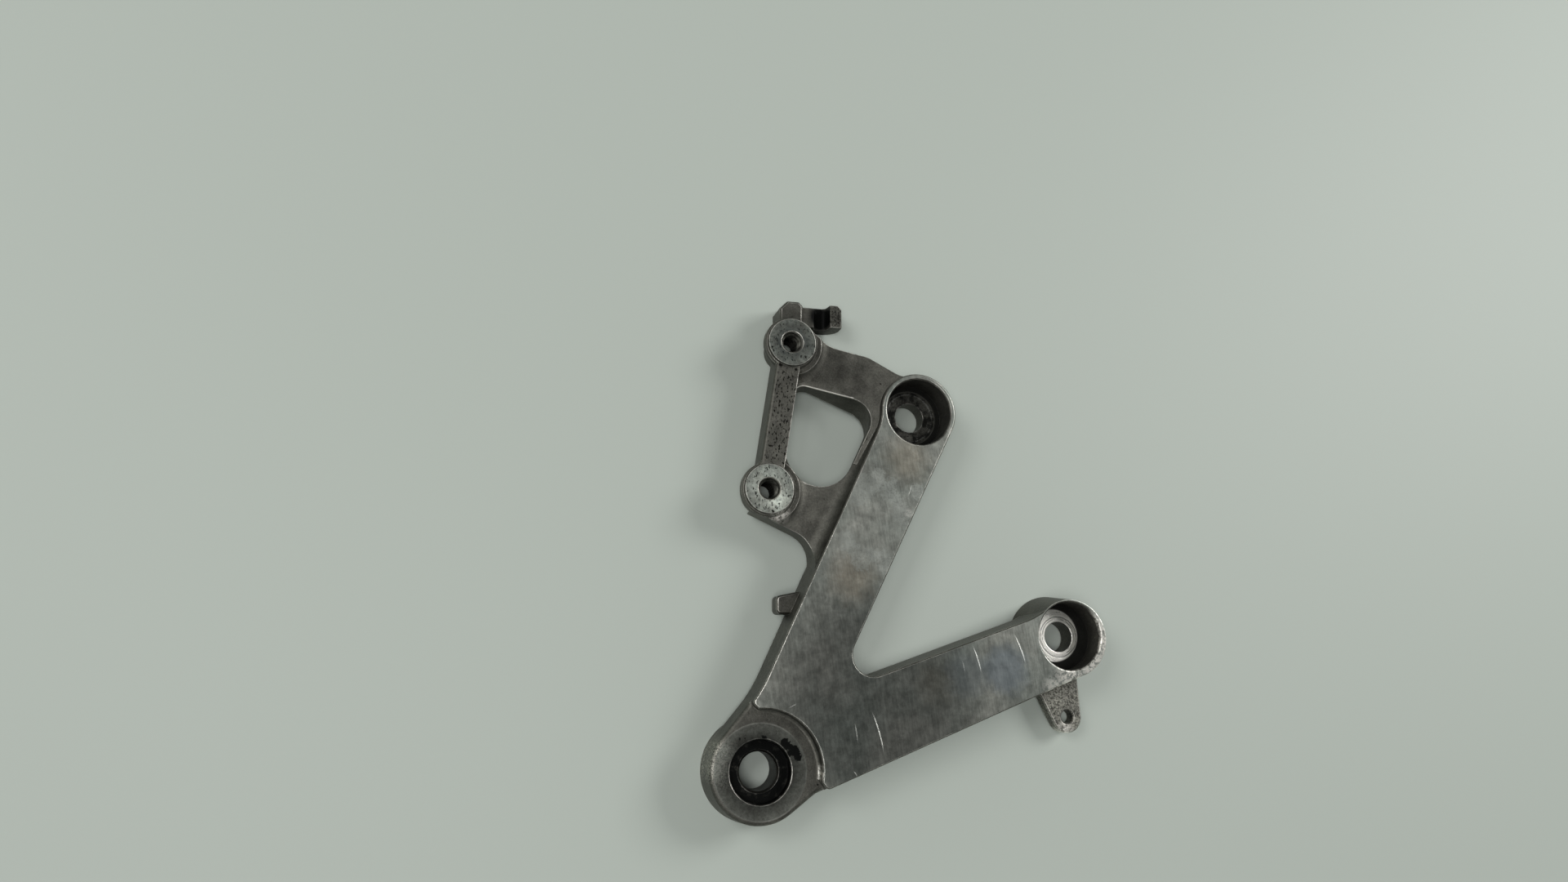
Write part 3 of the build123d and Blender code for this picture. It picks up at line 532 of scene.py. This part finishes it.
# Gloss: the skin is dull, the cut faces less so, and the worn places shine a little
SKIN_ROUGHNESS = 0.50
CUT_ROUGHNESS = 0.36
WORN_ROUGHNESS = 0.34
GREASE_ROUGHNESS = 0.45
machined = add_node(tree, "Math", {0: level["front"], 1: seat_floor}, operation="MAXIMUM")
roughness = add_node(
    tree, "Mix", {0: machined, 2: SKIN_ROUGHNESS, 3: CUT_ROUGHNESS}, data_type="FLOAT"
)
uneven = add_node(tree, "MapRange", {0: noise["blotches"], 1: 0.3, 2: 0.7, 3: -0.05, 4: 0.05})
roughness = add_node(tree, "Math", {0: roughness, 1: uneven}, operation="ADD")
for amount, other in ((wear_and_painted_highlight, WORN_ROUGHNESS), (filmed, GREASE_ROUGHNESS)):
    roughness = add_node(tree, "Mix", {0: amount, 2: roughness, 3: other}, data_type="FLOAT")

# Relief: the grain of the skin, its pits, the wiped lines, the turned rings and the scratches
RELIEF_DEPTH = 0.12
relief = add_node(tree, "MapRange", {0: level["front"], 3: 1.0, 4: 0.2})
relief = add_node(tree, "Math", {0: relief, 1: noise["grain"]}, operation="MULTIPLY")
line_relief = add_node(tree, "Math", {0: lines, 1: level["front"]}, operation="MULTIPLY")
ring_relief = add_node(tree, "Math", {0: rings, 1: level["seat"]}, operation="MULTIPLY")
for part, rise in ((line_relief, 0.25), (pits, -0.9), (ring_relief, 0.8), (scratches, -0.5)):
    relief = add_node(tree, "Math", {0: part, 1: rise, 2: relief}, operation="MULTIPLY_ADD")
bump = add_node(
    tree, "Bump",
    {"Height": relief, "Strength": 0.6, "Distance": RELIEF_DEPTH * MM, "Normal": soft_normal},
)

GREASE_SHEEN = 0.05                    # metal doesn't show it, so only the grease and dirt do
shader = add_node(
    tree, "BsdfPrincipled",
    {
        "Base Color": colour, "Metallic": metallic, "Roughness": roughness, "Normal": bump,
        "Specular IOR Level": GREASE_SHEEN,
    },
)
add_node(tree, "OutputMaterial", {"Surface": shader})
casting.data.materials.clear()
casting.data.materials.append(metal)


# The screw threads of the heel guard: M6 by 1 mm, cut with a tap right through both small
# bosses. Each is the ridge that the tap left standing in the hole, and it runs out at both ends.

THREAD_RADIUS = mounts["upper_guard_thread"]["dims"]["r_mm"]
THREAD_CREST_RADIUS = 2.46
THREAD_PITCH = 1.0
THREAD_ROOT_WIDTH = 0.86
THREAD_CREST_WIDTH = 0.16
THREAD_SINK = 0.03                     # the ridge's foot lies this far inside the wall
THREAD_FOOT = 0.9
THREAD_TOP = 12.4
STEPS_PER_TURN = 32

# Cut aluminium, dark with thread paste in its grooves, darker with depth by painted shade, and paler on
# some crests
thread_metal = bpy.data.materials.new("tapped_aluminium_thread")
thread_metal.use_nodes = True
tree = thread_metal.node_tree
tree.nodes.clear()
PASTE_SIZE = 1.25
coords = add_node(tree, "TexCoord", out="Object")
place = add_node(tree, "VectorMath", {0: coords, 3: 1 / MM}, operation="SCALE")
paste = add_node(
    tree, "TexNoise", {"Vector": place, "Scale": 1 / PASTE_SIZE, "Detail": 4.0, "Roughness": 0.6}
)
height = add_node(tree, "SeparateXYZ", {0: place}, out=2)
painted_depth_shade = add_node(tree, "MapRange", {0: height, 1: 7.0, 2: 12.0, 3: 0.15})
colour = add_node(tree, "ValToRGB", {0: paste})
stops = colour.node.color_ramp.elements
for stop, position, code in zip(stops, (0.35, 0.65), ("262623", "62625b")):
    stop.position = position
    stop.color = linear(code)
colour = add_node(
    tree, "Mix", {0: 1.0, 6: colour, 7: painted_depth_shade}, out=2, data_type="RGBA", blend_type="MULTIPLY"
)
shader = add_node(tree, "BsdfPrincipled", {"Base Color": colour, "Metallic": 1.0, "Roughness": 0.42})
add_node(tree, "OutputMaterial", {"Surface": shader})

for name in ("guard_upper", "guard_lower"):
    centre = AXES[name]
    steps = int((THREAD_TOP - THREAD_FOOT) / THREAD_PITCH * STEPS_PER_TURN)
    points, faces = [], []
    for i in range(steps + 1):
        angle = 2 * pi * i / STEPS_PER_TURN
        rise = THREAD_FOOT + THREAD_PITCH * i / STEPS_PER_TURN
        runout = min(1.0, i / STEPS_PER_TURN, (steps - i) / STEPS_PER_TURN)
        crest = THREAD_RADIUS - (THREAD_RADIUS - THREAD_CREST_RADIUS) * max(runout, 0.04)
        root = THREAD_RADIUS + THREAD_SINK
        for reach, width in (
            (root, -THREAD_ROOT_WIDTH), (crest, -THREAD_CREST_WIDTH),
            (crest, THREAD_CREST_WIDTH), (root, THREAD_ROOT_WIDTH),
        ):
            points.append((
                (centre[0] + reach * cos(angle)) * MM, (centre[1] + reach * sin(angle)) * MM,
                (rise + width / 2) * MM,
            ))
    for i in range(steps):
        for k in range(4):
            a, b = 4 * i + k, 4 * i + (k + 1) % 4
            faces.append((a, b, b + 4, a + 4))
    faces += [(3, 2, 1, 0), tuple(4 * steps + k for k in range(4))]
    mesh = bpy.data.meshes.new("thread_" + name)
    mesh.from_pydata(points, [], faces)
    mesh.update()
    mesh.materials.append(thread_metal)
    thread = bpy.data.objects.new("thread_" + name, mesh)
    bpy.context.scene.collection.objects.link(thread)
    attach(thread, "root")


# The table: a sheet of plastic, moulded with a satin face. The bracket lies loose on it, on the
# flat feet under its bosses.

TABLE_SIZE = 3000.0
TABLE_GAP = 0.02
table_mesh = bpy.data.meshes.new("table")
half = TABLE_SIZE / 2 * MM
table_mesh.from_pydata(
    [(-half, -half, 0), (half, -half, 0), (half, half, 0), (-half, half, 0)], [], [(0, 1, 2, 3)]
)
table = bpy.data.objects.new("table", table_mesh)
bpy.context.scene.collection.objects.link(table)
table.location.z = -TABLE_GAP * MM

# Satin white plastic: pale grey-green in the lamps' light
plastic = bpy.data.materials.new("white_plastic_table")
plastic.use_nodes = True
tree = plastic.node_tree
tree.nodes.clear()
shader = add_node(
    tree, "BsdfPrincipled", {"Base Color": linear("b6bdb5"), "Roughness": 0.5, "Specular IOR Level": 0.2}
)
add_node(tree, "OutputMaterial", {"Surface": shader})
table_mesh.materials.append(plastic)


# The lamps: softboxes on the left, on the right and above, in a pale room that is lighter at its
# walls than at its ceiling. The same walls are the pale background.

scene = bpy.context.scene
scene.view_settings.view_transform = "Standard"
world = bpy.data.worlds.new("pale_room")
world.use_nodes = True
tree = world.node_tree
tree.nodes.clear()
WALL_STRENGTH = 1.6
CEILING_STRENGTH = 0.20
direction = add_node(tree, "TexCoord", out="Generated")
rise = add_node(tree, "SeparateXYZ", {0: direction}, out=2)
walls = add_node(tree, "MapRange", {0: rise, 1: 0.05, 2: 0.60, 3: WALL_STRENGTH, 4: CEILING_STRENGTH})
room = add_node(tree, "Background", {"Color": linear("b9bebb"), "Strength": walls})
add_node(tree, "OutputWorld", {"Surface": room})
scene.world = world

SOFTBOX_DISTANCE = 1200.0
SOFTBOX_WIDTH = 450.0
target = Vector((40, 55, 0)) * MM
for name, direction, power in (
    ("left_softbox", (-0.62, 0.28, 0.73), 3.8),
    ("right_softbox", (0.74, 0.34, 0.58), 6.4),
    ("top_softbox", (-0.30, -0.16, 0.94), 4.4),
):
    lamp = bpy.data.lights.new(name, "AREA")
    lamp.shape = "SQUARE"
    lamp.size = SOFTBOX_WIDTH * MM
    lamp.energy = power
    holder = bpy.data.objects.new(name, lamp)
    scene.collection.objects.link(holder)
    towards = Vector(direction).normalized()
    holder.location = target + towards * SOFTBOX_DISTANCE * MM
    holder.rotation_euler = towards.to_track_quat("Z", "Y").to_euler()


# The camera: a telephone's wide lens, held a third of a metre above the table, beyond the lower
# left of the bracket and tilted towards it.

CAMERA_PLACE = Vector((-73.8, 22.6, 322.35))
rightwards = Vector((0.9681, 0.0, 0.2505))
upwards = Vector((-0.0531, 0.9772, 0.2053))
lens = bpy.data.cameras.new("camera")
lens.lens = 26.0
lens.sensor_width = 36.0
lens.clip_start = 10.0 * MM
camera = bpy.data.objects.new("camera", lens)
scene.collection.objects.link(camera)
aim = Matrix((rightwards, upwards, rightwards.cross(upwards))).transposed().to_4x4()
camera.matrix_world = Matrix.Translation(CAMERA_PLACE * MM) @ aim
scene.camera = camera
